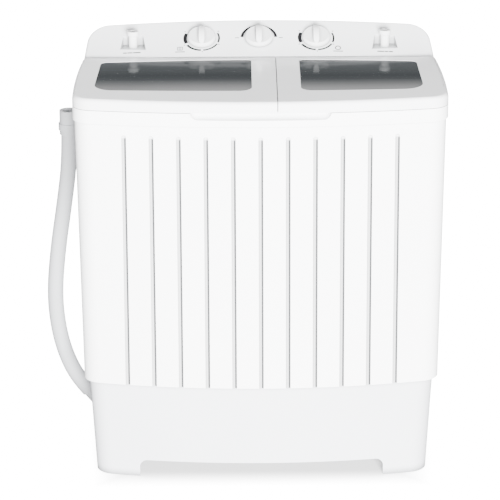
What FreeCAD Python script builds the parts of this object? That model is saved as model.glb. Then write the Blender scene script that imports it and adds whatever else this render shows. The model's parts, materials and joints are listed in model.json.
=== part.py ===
"""Twin tub washer: a wash tub with a pulsator and a spin basket side by side in one plastic cabinet.

Millimetres. +Z is up, the front faces -Y, +X is to the right as seen from the front. The origin is on the floor,
under the middle of the machine. Every separate physical piece is written as parts/NAME.step.
"""
import FreeCAD, Part
import math
import os
from collections import namedtuple

os.makedirs("parts", exist_ok=True)

V = FreeCAD.Vector
UP = V(0, 0, 1)
ACROSS = V(1, 0, 0)

# ---------------------------------------------------------------------------------------------- driving sizes
# A plan outline has a bowed front, gently curved sides and a straight back.
Plan = namedtuple("Plan", "half_front half_mid half_back y_front bow y_back")

Y_BACK = 182.0
TOP = Plan(318.5, 316.0, 298.0, -185.0, 30.0, Y_BACK)
CABINET_HIGH = Plan(315.5, 313.0, 295.0, -182.0, 30.0, Y_BACK)
CABINET_LOW = Plan(308.0, 305.5, 288.5, -173.0, 39.0, Y_BACK)
BASE_HIGH = Plan(300.0, 298.0, 282.0, -165.5, 39.0, 177.5)
BASE_LOW = Plan(289.0, 287.5, 272.0, -162.0, 34.0, 175.0)

BASE_FLOOR_Z = 128.0
BASE_FLOOR_THICK = 4.0
BASE_TOP_Z = 182.0
CABINET_BOTTOM_Z = 175.0
SEAM_Z = 653.0
DECK_TOP_Z = 676.0
LID_BOTTOM_Z = 677.0
LID_TOP_Z = 696.0
ABOVE_ALL_Z = 780.0
FRONT_CORNER_R = 35.0
BACK_CORNER_R = 40.0
WALL = 3.0
CABINET_FRONT_WALL = 5.5
RUNNING_GAP = 0.05
FREE_GAP = 0.3

# Feet and arches
ARCH_HALF_WIDTH = 213.0
ARCH_HEIGHT = 31.0
ARCH_CORNER_R = 13.0
SIDE_ARCH_HALF_WIDTH = 95.0
FOOT_PAD_R = 15.0
FOOT_PAD_H = 3.0
FOOT_X = 252.0
FOOT_FRONT_Y = -112.0
FOOT_BACK_Y = 142.0
FOOT_BOSS_HALF_X = 20.0
FOOT_BOSS_HALF_Y = 18.0

# Grooves in the cabinet front
GROOVE_COUNT = 11
GROOVE_PITCH = 46.35
GROOVE_R = 4.2
GROOVE_DEPTH = 3.2
GROOVE_TOP_Z = 630.0

# Back: cover, its screws and slots, and the gland of the mains lead
BACK_OPENING_HALF_X = 238.0
BACK_OPENING_Z = (212.0, 608.0)
COVER_HALF_X = 252.0
COVER_Z = (198.0, 622.0)
COVER_THICK = 2.5
COVER_CORNER_R = 12.0
COVER_SCREW_X = 245.0
COVER_SCREW_Z = (208.0, 410.0, 612.0)
COOLING_COLUMNS = (-120.0, 0.0, 120.0)
COOLING_ROWS = 6
COOLING_LOW_Z = 240.0
COOLING_PITCH = 14.0
COOLING_HALF_X = 42.0
COOLING_SLOT_H = 5.0
SCREW_SHANK_R = 1.9
SCREW_HEAD_R = 4.2
SCREW_HEAD_H = 2.0
GLAND_X = 222.0
GLAND_Z = 222.0
GLAND_R = 8.0
GLAND_FLANGE_R = 12.0
GLAND_BORE_R = 3.5
GLAND_REACH = 3.5

# Top deck
DECK_PLATE = 2.5
RIM_H = 5.0
RIM_WALL = 2.2
RECESS_HALF = 106.0
RECESS_R = 14.0
RECESS_RISE = 2.5
LUG_HALF = 4.0
LUG_R = 5.0
LUG_X = {"wash": (-272.0, -15.0), "spin": (72.0, 272.0)}

# Console: a sloping panel behind the lids
CONSOLE_FRONT_Y = 95.0
CONSOLE_FRONT_Z = 698.0
CONSOLE_TILT = 26.5
CONSOLE_CROWN_R = 4900.0
CONSOLE_EDGE_R = 5.0
CONSOLE_PANEL = 4.0
CONSOLE_BACK_HALF_X = 256.0
CONSOLE_BACK_TOP_Z = 726.0
CONSOLE_OPENING_HALF_X = 238.0
CONSOLE_OPENING_Z = (690.0, 716.0)
CONSOLE_SCREW_X = (90.0, 247.0)
CONSOLE_SCREW_Z = 684.0
KNOB_X = {"wash": -101.0, "selector": 0.0, "spin": 101.0}
KNOB_ALONG = 45.0
KNOB_R = 24.8
KNOB_GAP = 1.2
KNOB_SKIRT_H = 5.0
KNOB_FACE_H = 8.5
KNOB_SLOPE = 2.6
KNOB_SOCKET = 7.0
GRIP_TOP = 19.0
GRIP_HALF = 5.0
GRIP_CROWN_R = 36.0
SPINDLE_R = 3.0
TIMER_HALF_X = 23.0
TIMER_HALF_Y = 19.0
TIMER_DEPTH = 30.0
SELECTOR_HALF = 15.0
SELECTOR_DEPTH = 24.0
SWITCH_TOP = -6.5
SWITCH_NECK_TOP = -4.3

# Water inlets
INLET_X = 222.0
INLET_Y = 133.0
POCKET_FLOOR_Z = 702.7
POCKET_FLOOR_THICK = 2.5
POCKET_FRONT_Y = 112.0
POCKET_BACK_Y = 147.5
POCKET_HALF_FRONT = 23.5
POCKET_HALF_BACK = 17.5
SPIGOT_R = 7.7
SPIGOT_COLLAR_R = 10.0
SPIGOT_COLLAR_H = 8.0
SPIGOT_SHANK_R = 6.5
SPIGOT_SHANK_LOW_Z = 692.0
SPIGOT_BORE_R = 5.0
SPIGOT_TOP_Z = 732.0
DUCT_R = 8.0
DUCT_TURN_Z = {"wash": 654.0, "spin": 644.0}
DUCT_END = {"wash": (116.5, 647.2), "spin": (68.0, 632.0)}

# Lids
LID_SEAM_X = 28.8
LID_SEAM_GAP = 1.6
LID_WALL = 3.0
LID_EDGE_R = 7.5
HINGE_Y = 86.0
HINGE_Z = 689.0
HINGE_ROLL_R = 7.0
HINGE_ROLL_END_X = 306.0
HINGE_PIN_R = 2.5
HINGE_PIN_HALF = 14.0
WINDOW_THICK = 2.5
WINDOW_SEAT = 3.4
WINDOW_LEDGE = 4.0
WINDOW_FRONT_Y = -115.0
WINDOW_FRONT_BOW = 8.0
WINDOW_BACK_Y = 75.0
WINDOW_BACK_BOW = -13.0
WINDOW_BOW_AT_X = 272.0
# Corners of each window as (X, is at the front, radius), going round.
WINDOW_CORNERS = {
    "wash": [(-284.0, True, 32.0), (-14.0, True, 22.0), (-14.0, False, 9.0), (-276.0, False, 12.0)],
    "spin": [(69.5, True, 19.0), (279.5, True, 34.0), (274.0, False, 13.0), (69.5, False, 9.0)],
}

# Tubs
TUB_FLOOR_Z = 310.0
TUB_WALL = 2.5
WASH_LEFT_X = -290.0
WASH_RIGHT_X = 14.0
WASH_FRONT_Y = -143.5
WASH_BACK_Y = 122.0
WASH_OPENING_BACK_Y = 74.0
WASH_OPENING_CORNER_R = 50.0
WASH_CORNER_R = 57.5
WASH_FLOOR_R = 16.0
RAIL_Y = 34.0
RAIL_Z = (480.0, 650.0)
FILTER_HALF_Y = 31.5
FILTER_DEPTH = 14.0
FILTER_Z = (490.0, 610.0)
SPIN_X = 168.0
SPIN_Y = -30.0
CHAMBER_R = 118.0
SPIN_OPENING_R = 104.0
BASKET_R = 100.0
BASKET_BOTTOM_Z = 332.0
BASKET_TOP_Z = 614.0
BASKET_WALL = 1.6
BASKET_HOLE_R = 3.0
BASKET_HOLE_ROWS = 7
BASKET_HOLE_COLUMNS = 8
BASKET_HOLE_PITCH = 36.0

# Wash drive
PULSATOR_X = -140.0
PULSATOR_Y = -34.0
PULSATOR_R = 100.0
PULSATOR_LOW_Z = TUB_FLOOR_Z + 3.0
PULSATOR_SHAFT_R = 6.0
VANE_COUNT = 6
SCREW_LOW_Z = TUB_FLOOR_Z + 12.0
SCREW_SEAT_Z = TUB_FLOOR_Z + 23.0
HOUSING_R = 18.0
HOUSING_LOW_Z = 234.0
HOUSING_FLANGE_R = 34.0
BEARING_R = 13.0
BEARING_H = 10.0
BEARING_LOWS = (238.0, 282.0)
SEAL_LOW_Z = 298.0
PULLEY_Z = 206.0
PULLEY_H = 14.0
LARGE_PULLEY_R = 68.0
SMALL_PULLEY_R = 17.0
BELT_THICK = 6.0
BELT_HEIGHT = 9.0
BELT_SINK = 0.7
LARGE_BELT_R = LARGE_PULLEY_R - BELT_THICK - BELT_SINK
SMALL_BELT_R = SMALL_PULLEY_R - BELT_THICK - BELT_SINK
WASH_MOTOR_X = -15.0
WASH_MOTOR_Y = -85.0
WASH_MOTOR_R = 52.0
WASH_MOTOR_Z = (226.0, 297.0)
MOTOR_SHAFT_R = 5.0

# Spin drive
SPIN_SHAFT_R = 8.0
SPIN_MOTOR_R = 60.0
SPIN_MOTOR_Z = (160.0, 255.0)
DRUM_R = 48.0
DRUM_Z = (270.0, 294.0)
SPRING_R = 8.0
SPRING_WIRE_R = 1.3
SPRING_CIRCLE_R = 40.0
BRAKE_GAP = 4.0
BRAKE_PIVOT_Y = SPIN_Y + 74.0
BRAKE_PIVOT_R = 3.0
BRAKE_EYE_R = 7.0
BRAKE_ARM_HALF = 4.0
BRAKE_SHOE_HALF = 14.0
BRAKE_X = SPIN_X + DRUM_R + BRAKE_GAP + 12.0
SEAL_SLEEVE_R = 14.0
SEAL_WEB_R = 20.0

# Drain
VALVE_X = -240.0
VALVE_Y = 30.0
VALVE_CUP_R = 20.0
VALVE_LOW_Z = 272.0
VALVE_SIDE_Z = 291.0
VALVE_SIDE_REACH = 30.0
PLUNGER_LOW_Z = 278.0
DRAIN_BORE_R = 14.0
DRAIN_PIPE_R = 13.0
PIPE_BORE_R = 10.5
SPIN_DRAIN_X = 110.0
SPIN_DRAIN_Y = 40.0
SPIN_DRAIN_R = 9.0
SPIN_DRAIN_BORE_R = 6.5
OUTLET_Z = 80.0
OUTLET_START_X = -281.0
OUTLET_R = 12.0
OUTLET_BORE_R = 9.0
OUTLET_FLANGE_R = 18.0
HOSE_R = 14.0
HOSE_Y = 30.0
HOSE_X_TOP = -333.0
HOSE_ROUTE = [
    V(-307.0, HOSE_Y, 94.7),
    V(-327.0, HOSE_Y, 118.6),
    V(-347.0, HOSE_Y, 161.6),
    V(-360.0, HOSE_Y, 214.6),
    V(-365.0, HOSE_Y, 279.6),
    V(-357.5, HOSE_Y, 361.0),
    V(-343.5, HOSE_Y, 451.0),
    V(HOSE_X_TOP, HOSE_Y, 530.0),
    V(HOSE_X_TOP, HOSE_Y, 598.0),
]
CUFF_R = 16.5
CUFF_BORE_R = 11.0
CUFF_Z = (576.0, 619.0)
HOOK_Z = (584.0, 596.0)
HOOK_TONGUE_Z = (588.0, 592.0)
HOOK_TONGUE_HALF = 7.0
HOOK_TONGUE_END_X = -305.5
HOOK_BARB_X = -307.2


# ------------------------------------------------------------------------------------------------ small tools
def box(x0, x1, y0, y1, z0, z1):
    return Part.makeBox(x1 - x0, y1 - y0, z1 - z0, V(x0, y0, z0))


def post(x, y, z0, z1, radius):
    """An upright cylinder."""
    return Part.makeCylinder(radius, z1 - z0, V(x, y, z0))


def ring(x, y, z0, z1, outer, inner):
    """An upright tube."""
    return post(x, y, z0, z1, outer).cut(post(x, y, z0 - 1, z1 + 1, inner))


def rod(start, end, radius):
    """A cylinder from one point to another."""
    return Part.makeCylinder(radius, (end - start).Length, start, end - start)


def fuse(shapes):
    joined = shapes[0].multiFuse(shapes[1:]) if len(shapes) > 1 else shapes[0]
    return joined.removeSplitter()


def level_rod(x, z, y0, y1, radius):
    """A cylinder running from front to back."""
    return rod(V(x, y0, z), V(x, y1, z), radius)


def rounded_box(x0, x1, y0, y1, z0, z1, radius):
    """A box with rounded upright corners."""
    block = box(x0, x1, y0, y1, z0, z1)
    return block.makeFillet(radius, upright_edges(block))


def upright_edges(shape):
    """The edges that run from the shape's lowest level to its highest."""
    levels = [vertex.Z for vertex in shape.Vertexes]
    height = max(levels) - min(levels)
    found = []
    for edge in shape.Edges:
        ends = [vertex.Z for vertex in edge.Vertexes]
        if len(ends) == 2 and abs(ends[1] - ends[0]) > 0.9 * height:
            found.append(edge)
    return found


def plan_wire(plan, z, inset=0.0, front_inset=None):
    """The plan outline at one height, moved inwards by inset."""
    front_inset = inset if front_inset is None else front_inset
    y_front = plan.y_front + front_inset
    y_corner = y_front + plan.bow
    y_back = plan.y_back - inset
    y_mid = (y_corner + y_back) / 2
    half_front = plan.half_front - inset
    half_mid = plan.half_mid - inset
    half_back = plan.half_back - inset
    front_left = V(-half_front, y_corner, z)
    front_right = V(half_front, y_corner, z)
    back_left = V(-half_back, y_back, z)
    back_right = V(half_back, y_back, z)
    front = Part.Arc(front_left, V(0, y_front, z), front_right).toShape()
    right = Part.Arc(front_right, V(half_mid, y_mid, z), back_right).toShape()
    back = Part.LineSegment(back_right, back_left).toShape()
    left = Part.Arc(back_left, V(-half_mid, y_mid, z), front_left).toShape()
    return Part.Wire([front, right, back, left])


def plan_block(low, z0, high, z1, inset=0.0, front_inset=None):
    """A solid between two plan outlines, with rounded upright corners."""
    wires = [plan_wire(low, z0, inset, front_inset), plan_wire(high, z1, inset, front_inset)]
    block = Part.makeLoft(wires, True, True)
    front = [edge for edge in upright_edges(block) if edge.CenterOfMass.y < 0]
    block = block.makeFillet(max(FRONT_CORNER_R - inset, 4.0), front)
    back = []
    for edge in upright_edges(block):
        middle = edge.CenterOfMass
        if middle.y > Y_BACK - 30 and abs(middle.x) > 200:
            back.append(edge)
    return block.makeFillet(max(BACK_CORNER_R - inset, 4.0), back)


def between(low, z_low, high, z_high, z):
    """The plan at a height between two others, or beyond them."""
    share = (z - z_low) / (z_high - z_low)
    return Plan(*[a + share * (b - a) for a, b in zip(low, high)])


def cabinet_plan(z):
    return between(CABINET_LOW, CABINET_BOTTOM_Z, CABINET_HIGH, SEAM_Z, z)


def base_plan(z):
    return between(BASE_LOW, 0.0, BASE_HIGH, BASE_TOP_Z, z)


def front_y(plan, x, inset=0.0):
    """Where the bowed front lies at one X."""
    return plan.y_front + inset + plan.bow * (x / plan.half_front) ** 2


def rounded_route(points):
    """Straight runs joined by tangent arcs; returns the wire and the arcs' radii."""
    edges = []
    radii = []
    start = points[0]
    for before, corner, after in zip(points, points[1:], points[2:]):
        into = (corner - before).normalize()
        out = (after - corner).normalize()
        half_turn = into.getAngle(out) / 2
        reach = 0.45 * min((corner - before).Length, (after - corner).Length)
        radius = reach / math.tan(half_turn)
        radii.append(radius)
        arc_start = corner - into * reach
        arc_end = corner + out * reach
        bisector = (out - into).normalize()
        middle = corner + bisector * (radius / math.cos(half_turn) - radius)
        edges.append(Part.LineSegment(start, arc_start).toShape())
        edges.append(Part.Arc(arc_start, middle, arc_end).toShape())
        start = arc_end
    edges.append(Part.LineSegment(start, points[-1]).toShape())
    return Part.Wire(edges), radii


def swept_rod(points, radius):
    """A round bar along a rounded route."""
    spine, _ = rounded_route(points)
    circle = Part.Wire([Part.Circle(points[0], points[1] - points[0], radius).toShape()])
    return spine.makePipeShell([circle], True, False)


def swept_pipe(points, outer, inner):
    return swept_rod(points, outer).cut(swept_rod(points, inner))


def on_console(shape, x, along):
    """Move a shape made on the XY plane onto the console's crowned slope, that far up from its edge."""
    tilt = math.radians(CONSOLE_TILT)
    drop = x ** 2 / (2 * CONSOLE_CROWN_R)
    y = CONSOLE_FRONT_Y + along * math.cos(tilt) + drop * math.sin(tilt)
    z = CONSOLE_FRONT_Z + along * math.sin(tilt) - drop * math.cos(tilt)
    moved = shape.copy()
    turn = FreeCAD.Rotation(ACROSS, CONSOLE_TILT)
    moved.Placement = FreeCAD.Placement(V(x, y, z), turn).multiply(moved.Placement)
    return moved


def around(shape, x, y, count):
    """Copies of a shape turned about an upright axis."""
    copies = []
    for index in range(count):
        turned = shape.copy()
        turned.rotate(V(x, y, 0), UP, index * 360.0 / count)
        copies.append(turned)
    return copies


# ------------------------------------------------------------------------------------------------ base and feet
def base_plinth():
    """A hollow plinth with a motor floor, arched on all four sides so that it stands on its corners."""
    outer = plan_block(BASE_LOW, 0.0, BASE_HIGH, BASE_TOP_Z)
    below = plan_block(base_plan(-1.0), -1.0, base_plan(BASE_FLOOR_Z), BASE_FLOOR_Z, WALL)
    floor_top = BASE_FLOOR_Z + BASE_FLOOR_THICK
    above = plan_block(base_plan(floor_top), floor_top, base_plan(BASE_TOP_Z + 1), BASE_TOP_Z + 1, WALL)
    shell = outer.cut([below, above])
    bosses = []
    for x, y in foot_places():
        half_x, half_y = FOOT_BOSS_HALF_X, FOOT_BOSS_HALF_Y
        bosses.append(box(x - half_x, x + half_x, y - half_y, y + half_y, FOOT_PAD_H, BASE_FLOOR_Z))
    shell = fuse([shell] + bosses)
    arch = box(-ARCH_HALF_WIDTH, ARCH_HALF_WIDTH, -200, 200, -40, ARCH_HEIGHT)
    side_arch = box(-320, 320, -SIDE_ARCH_HALF_WIDTH, SIDE_ARCH_HALF_WIDTH, -40, ARCH_HEIGHT)
    tops = [edge for edge in arch.Edges if edge.BoundBox.ZMin > 0 and edge.BoundBox.YLength > 300]
    side_tops = [edge for edge in side_arch.Edges if edge.BoundBox.ZMin > 0 and edge.BoundBox.XLength > 300]
    arch = arch.makeFillet(ARCH_CORNER_R, tops)
    side_arch = side_arch.makeFillet(ARCH_CORNER_R, side_tops)
    pipe_hole = post(VALVE_X, VALVE_Y, OUTLET_Z, BASE_FLOOR_Z + 10, DRAIN_PIPE_R + 0.5)
    return shell.cut([arch, side_arch, pipe_hole, outlet_tube(OUTLET_R + FREE_GAP)])


def foot_places():
    return [(side * FOOT_X, y) for side in (-1, 1) for y in (FOOT_FRONT_Y, FOOT_BACK_Y)]


def foot_pads():
    return Part.makeCompound([post(x, y, 0, FOOT_PAD_H, FOOT_PAD_R) for x, y in foot_places()])


# ------------------------------------------------------------------------------------------------ cabinet
def groove_tool(x):
    """An upright round-ended groove that follows the front's draft."""
    low_z = CABINET_BOTTOM_Z - 6
    lift = GROOVE_R - GROOVE_DEPTH
    bottom = V(x, front_y(cabinet_plan(low_z), x) - lift, low_z)
    top = V(x, front_y(cabinet_plan(GROOVE_TOP_Z), x) - lift, GROOVE_TOP_Z)
    return fuse([rod(bottom, top, GROOVE_R), Part.makeSphere(GROOVE_R, top)])


def cabinet_shell():
    """Front, sides and back frame in one moulding, open above and below and behind."""
    outer = plan_block(CABINET_LOW, CABINET_BOTTOM_Z, CABINET_HIGH, SEAM_Z)
    inner_low = cabinet_plan(CABINET_BOTTOM_Z - 1)
    inner_high = cabinet_plan(SEAM_Z + 1)
    inner = plan_block(inner_low, CABINET_BOTTOM_Z - 1, inner_high, SEAM_Z + 1, WALL, CABINET_FRONT_WALL)
    shell = outer.cut(inner)
    ledge_plan = cabinet_plan(BASE_TOP_Z)
    ledge = plan_block(ledge_plan, BASE_TOP_Z, ledge_plan, BASE_TOP_Z + 3, WALL - 0.5, CABINET_FRONT_WALL - 0.5)
    ledge = ledge.cut(plan_block(ledge_plan, BASE_TOP_Z - 1, ledge_plan, BASE_TOP_Z + 4, 18.0))
    shell = fuse([shell, ledge])
    first = -(GROOVE_COUNT - 1) / 2
    grooves = [groove_tool((first + index) * GROOVE_PITCH) for index in range(GROOVE_COUNT)]
    back_opening = box(-BACK_OPENING_HALF_X, BACK_OPENING_HALF_X, 100, 200, *BACK_OPENING_Z)
    slot_half = HOOK_TONGUE_HALF + 1
    slot_low, slot_high = HOOK_TONGUE_Z[0] - 0.5, HOOK_TONGUE_Z[1] + 0.5
    hook_slot = box(-330, -290, HOSE_Y - slot_half, HOSE_Y + slot_half, slot_low, slot_high)
    holes = [level_rod(x, z, Y_BACK - 12, Y_BACK + 5, SCREW_SHANK_R) for x, z in cover_screw_places()]
    return shell.cut(grooves + [back_opening, hook_slot] + holes)


def cover_screw_places():
    return [(side * COVER_SCREW_X, z) for side in (-1, 1) for z in COVER_SCREW_Z]


def console_screw_places():
    return [(side * x, CONSOLE_SCREW_Z) for side in (-1, 1) for x in CONSOLE_SCREW_X]


def rear_cover():
    """The flat panel that closes the cabinet's back, with cooling slots low down."""
    plate = box(-COVER_HALF_X, COVER_HALF_X, Y_BACK, Y_BACK + COVER_THICK, *COVER_Z)
    corners = [edge for edge in plate.Edges if edge.BoundBox.YLength > 2 and edge.BoundBox.XLength < 0.1]
    plate = plate.makeFillet(COVER_CORNER_R, corners)
    tools = [level_rod(GLAND_X, GLAND_Z, Y_BACK - 5, Y_BACK + 5, GLAND_R)]
    for x in COOLING_COLUMNS:
        for row in range(COOLING_ROWS):
            z = COOLING_LOW_Z + row * COOLING_PITCH
            x0, x1 = x - COOLING_HALF_X, x + COOLING_HALF_X
            tools.append(box(x0, x1, Y_BACK - 5, Y_BACK + 5, z, z + COOLING_SLOT_H))
    tools += [level_rod(x, z, Y_BACK - 5, Y_BACK + 5, SCREW_SHANK_R) for x, z in cover_screw_places()]
    return plate.cut(tools)


def rear_screws():
    """Pan-head screws of the rear cover and of the console's back panel."""
    outside = Y_BACK + COVER_THICK
    top = outside + SCREW_HEAD_H
    screws = []
    for x, z in cover_screw_places() + console_screw_places():
        shank = level_rod(x, z, Y_BACK - 2.5, outside, SCREW_SHANK_R)
        head = level_rod(x, z, outside, top, SCREW_HEAD_R)
        slot = box(x - 3, x + 3, top - 0.8, top + 1, z - 0.5, z + 0.5)
        screws.append(fuse([shank, head]).cut(slot))
    return Part.makeCompound(screws)


def cord_gland():
    """The bush that the mains lead enters through."""
    outside = Y_BACK + COVER_THICK
    body = level_rod(GLAND_X, GLAND_Z, Y_BACK - 7, outside + GLAND_REACH, GLAND_R)
    flange = level_rod(GLAND_X, GLAND_Z, outside, outside + 2, GLAND_FLANGE_R)
    bore = level_rod(GLAND_X, GLAND_Z, Y_BACK - 10, outside + 10, GLAND_BORE_R)
    return fuse([body, flange]).cut(bore)


# ------------------------------------------------------------------------------------------------ top deck
def wash_opening(z0, z1, grow=0.0):
    return rounded_box(
        WASH_LEFT_X + 4 - grow, WASH_RIGHT_X - 4 + grow, WASH_FRONT_Y + 5 - grow, WASH_OPENING_BACK_Y + grow,
        z0, z1, WASH_OPENING_CORNER_R + grow,
    )


def finger_recess():
    """The scoop under the lids' front edge, tapering out at both ends."""
    y, z = TOP.y_front + 1.0, DECK_TOP_Z + RECESS_RISE
    ends = [Part.makeSphere(RECESS_R, V(side * RECESS_HALF, y, z)) for side in (-1, 1)]
    return [rod(V(-RECESS_HALF, y, z), V(RECESS_HALF, y, z), RECESS_R)] + ends


def hinge_rod(x0, x1, radius):
    """A cylinder on the lids' hinge axis."""
    return rod(V(x0, HINGE_Y, HINGE_Z), V(x1, HINGE_Y, HINGE_Z), radius)


def hinge_lug(x):
    stem = box(x - LUG_HALF, x + LUG_HALF, HINGE_Y - LUG_R, HINGE_Y + LUG_R, DECK_TOP_Z - 1, HINGE_Z)
    eye = hinge_rod(x - LUG_HALF, x + LUG_HALF, LUG_R)
    return fuse([stem, eye]).cut(hinge_rod(x - 20, x + 20, HINGE_PIN_R + RUNNING_GAP))


def top_deck():
    """The frame that the lids lie on, with both tubs' mouths, their rims and the hinge lugs."""
    outer = plan_block(TOP, SEAM_Z, TOP, DECK_TOP_Z)
    under_plate = DECK_TOP_Z - DECK_PLATE
    shell = outer.cut(plan_block(TOP, SEAM_Z - 1, TOP, under_plate, WALL))
    pull_wall = outer.common(box(-135, 135, TOP.y_front - 5, TOP.y_front + 25, SEAM_Z, DECK_TOP_Z))
    rim_top = DECK_TOP_Z + RIM_H
    wash_rim = wash_opening(under_plate, rim_top, RIM_WALL)
    spin_rim = post(SPIN_X, SPIN_Y, under_plate, rim_top, SPIN_OPENING_R + RIM_WALL)
    lugs = [hinge_lug(x) for x in LUG_X["wash"] + LUG_X["spin"]]
    deck = fuse([shell, pull_wall, wash_rim, spin_rim] + lugs)
    tools = finger_recess()
    tools.append(wash_opening(under_plate - 30, rim_top + 1))
    tools.append(post(SPIN_X, SPIN_Y, under_plate - 30, rim_top + 1, SPIN_OPENING_R))
    for side in (-1, 1):
        tools.append(post(side * INLET_X, INLET_Y, under_plate - 5, DECK_TOP_Z + 5, DUCT_R + FREE_GAP))
    return deck.cut(tools)


# ------------------------------------------------------------------------------------------------ console
def under_slope(inset=0.0):
    """Everything below the console's crowned slope."""
    tilt = math.radians(CONSOLE_TILT)
    along = V(0, math.cos(tilt), math.sin(tilt))
    normal = V(0, -math.sin(tilt), math.cos(tilt))
    edge = V(0, CONSOLE_FRONT_Y, CONSOLE_FRONT_Z)
    start = edge - normal * CONSOLE_CROWN_R - along * 300
    return Part.makeCylinder(CONSOLE_CROWN_R - inset, 900, start, along)


def pocket_block(side, z0, grow):
    """The level pocket of a water inlet, wider at the front."""
    front, back = POCKET_FRONT_Y - grow, POCKET_BACK_Y + grow
    half_front, half_back = POCKET_HALF_FRONT + grow, POCKET_HALF_BACK + grow
    front_pair = [V(-half_front, front, z0), V(half_front, front, z0)]
    corners = front_pair + [V(half_back, back, z0), V(-half_back, back, z0)]
    block = Part.Face(Part.makePolygon(corners + [corners[0]])).extrude(V(0, 0, 60))
    block = block.makeFillet(3.0 + grow, upright_edges(block))
    block.translate(V(side * INLET_X, 0, 0))
    return block


def console_rims(block):
    """The edges of the console's slope along its back and its ends, but not along its front."""
    rims = []
    for edge in block.Edges:
        middle = edge.valueAt((edge.FirstParameter + edge.LastParameter) / 2)
        bounds = edge.BoundBox
        sloping = bounds.ZMin > CONSOLE_FRONT_Z - 25 and bounds.ZLength < 60
        upright = bounds.XLength < 0.01 and bounds.YLength < 0.01
        if sloping and not upright and middle.y > CONSOLE_FRONT_Y:
            rims.append(edge)
    return rims


def console_fascia():
    """The sloping control panel, its ends and its underside rim, open at the back."""
    region = box(-400, 400, CONSOLE_FRONT_Y, 300, DECK_TOP_Z, ABOVE_ALL_Z)
    outer = plan_block(TOP, DECK_TOP_Z, TOP, ABOVE_ALL_Z).common(region).common(under_slope())
    outer = outer.makeFillet(CONSOLE_EDGE_R, console_rims(outer))
    hollow = plan_block(TOP, DECK_TOP_Z - 1, TOP, ABOVE_ALL_Z, WALL)
    hollow = hollow.common(box(-400, 400, CONSOLE_FRONT_Y + 2.5, 300, DECK_TOP_Z - 1, ABOVE_ALL_Z))
    hollow = hollow.common(under_slope(CONSOLE_PANEL))
    half_x = CONSOLE_OPENING_HALF_X
    back_opening = box(-half_x, half_x, Y_BACK - 15, Y_BACK + 10, *CONSOLE_OPENING_Z)
    shell = outer.cut([hollow, back_opening])
    floor_low = POCKET_FLOOR_Z - POCKET_FLOOR_THICK
    walls = [pocket_block(side, floor_low, POCKET_FLOOR_THICK).common(outer) for side in (-1, 1)]
    shell = fuse([shell] + walls)
    tools = [pocket_block(side, POCKET_FLOOR_Z, 0.0) for side in (-1, 1)]
    tools += [on_console(post(0, 0, -12, 12, SPINDLE_R + FREE_GAP), x, KNOB_ALONG) for x in KNOB_X.values()]
    for side in (-1, 1):
        tools.append(post(side * INLET_X, INLET_Y, floor_low - 5, POCKET_FLOOR_Z + 1, SPIGOT_SHANK_R))
    tools += [level_rod(x, z, Y_BACK - 12, Y_BACK + 5, SCREW_SHANK_R) for x, z in console_screw_places()]
    return shell.cut(tools)


def console_back():
    """The panel that closes the console behind."""
    half_x = CONSOLE_BACK_HALF_X
    plate = box(-half_x, half_x, Y_BACK, Y_BACK + COVER_THICK, DECK_TOP_Z + 2, CONSOLE_BACK_TOP_Z)
    return plate.cut([level_rod(x, z, Y_BACK - 5, Y_BACK + 5, SCREW_SHANK_R) for x, z in console_screw_places()])


def inlet_spigot(side):
    """A short upright pipe with a collar that a tap hose is pushed over."""
    x = side * INLET_X
    shaft = post(x, INLET_Y, POCKET_FLOOR_Z, SPIGOT_TOP_Z, SPIGOT_R)
    collar = post(x, INLET_Y, SPIGOT_TOP_Z - SPIGOT_COLLAR_H, SPIGOT_TOP_Z, SPIGOT_COLLAR_R)
    collar = collar.makeFillet(1.2, [edge for edge in collar.Edges if len(edge.Vertexes) == 1])
    shank = post(x, INLET_Y, SPIGOT_SHANK_LOW_Z, POCKET_FLOOR_Z, SPIGOT_SHANK_R)
    bore = post(x, INLET_Y, SPIGOT_SHANK_LOW_Z - 1, SPIGOT_TOP_Z + 1, SPIGOT_BORE_R)
    return fuse([shaft, collar, shank]).cut(bore)


def duct_route(kind):
    x = -INLET_X if kind == "wash" else INLET_X
    end_y, end_z = DUCT_END[kind]
    top = POCKET_FLOOR_Z - POCKET_FLOOR_THICK - 0.1
    return [V(x, INLET_Y, top), V(x, INLET_Y, DUCT_TURN_Z[kind]), V(x, end_y, end_z)]


def duct_hole(kind):
    """The hole in a tub's wall that its duct passes through."""
    _, turn, end = duct_route(kind)
    return rod(turn, end + (end - turn).normalize() * 10, DUCT_R + 2 * FREE_GAP)


def inlet_ducts():
    """Hoses from the inlet spigots into the tops of the tubs."""
    return Part.makeCompound([swept_pipe(duct_route(kind), DUCT_R, SPIGOT_SHANK_R) for kind in ("wash", "spin")])


# ------------------------------------------------------------------------------------------------ controls
def switch_unit(half_x, half_y, depth, x):
    """A timer or switch body under the panel, with a bore for its spindle."""
    body = rounded_box(-half_x, half_x, -half_y, half_y, -depth, SWITCH_TOP, 3.0)
    neck = post(0, 0, SWITCH_TOP, SWITCH_NECK_TOP, 7.0)
    bore = post(0, 0, -depth + 4, 5, SPINDLE_R + RUNNING_GAP)
    return on_console(fuse([body, neck]).cut(bore), x, KNOB_ALONG)


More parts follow.
